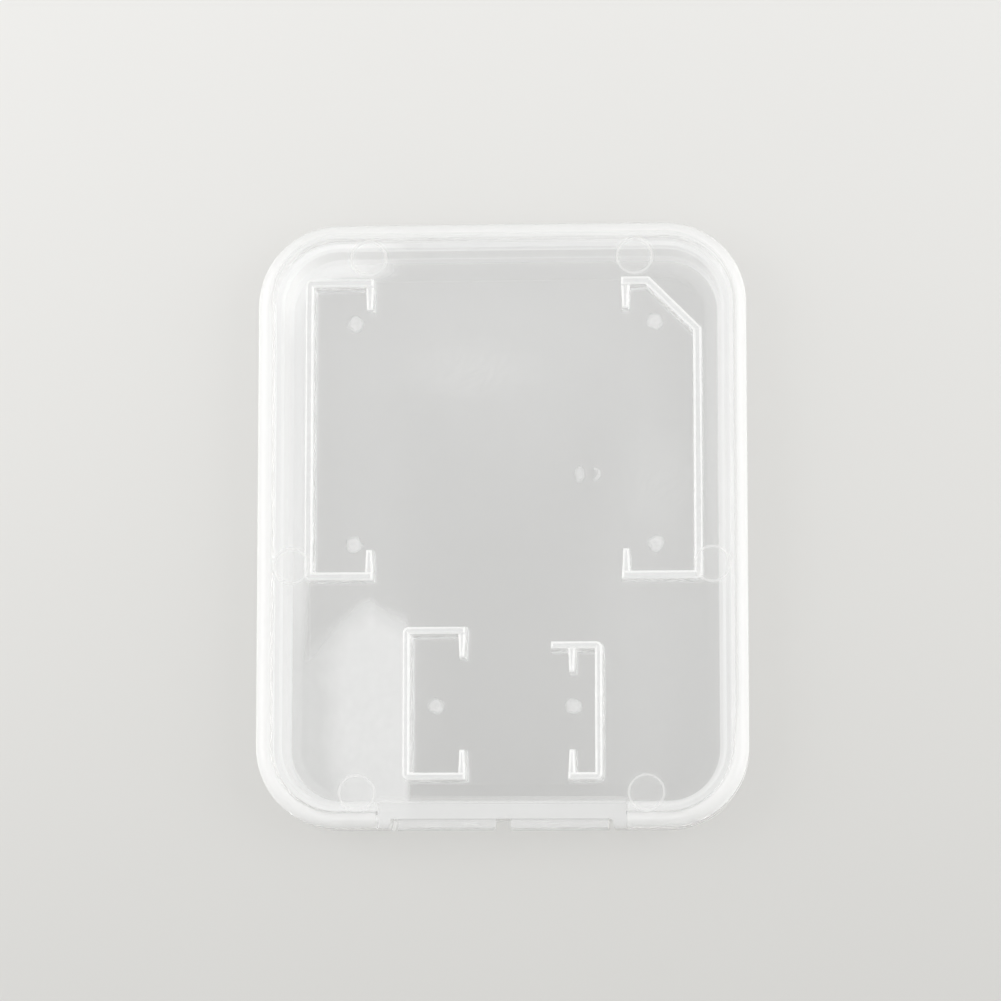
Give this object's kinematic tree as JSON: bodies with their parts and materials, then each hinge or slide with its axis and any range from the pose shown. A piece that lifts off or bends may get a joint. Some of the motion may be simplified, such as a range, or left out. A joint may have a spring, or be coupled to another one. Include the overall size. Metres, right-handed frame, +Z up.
{
  "type": "memory card case",
  "caption": "Clear hinged plastic case whose tray guides hold a full-size and a micro memory card flat under a lid that snaps over the lip.",
  "frame": {"origin": "under the middle of the closed case, on the surface it lies on", "axes": "+Z up through the lid, +Y from the hinge edge to the opening edge, +X to the right seen from above with the hinge nearest"},
  "size_m": [0.042, 0.0521, 0.007],
  "materials": {
    "clear_tray": "clear polypropylene, slightly milky",
    "clear_lid": "clear polypropylene, polished, fine scuffs",
    "hinge_web": "polypropylene whitened by folding",
    "clear_holder": "clear polypropylene"
  },
  "bodies": {
    "base": {"base_tray": "clear_tray", "large_card_holder_left": "clear_holder", "large_card_holder_right": "clear_holder", "micro_card_holder_left": "clear_holder", "micro_card_holder_right": "clear_holder", "hinge_strap_left": "hinge_web", "hinge_strap_right": "hinge_web"},
    "lid": {"lid": "clear_lid"}
  },
  "joints": [
    {"name": "lid_hinge", "type": "hinge", "parent": "base", "child": "lid", "pos_m": [0, -0.02612, 0.00352], "axis": [1, 0, 0], "range_deg": [0, 180], "deforming": ["hinge_strap_left", "hinge_strap_right"]}
  ]
}
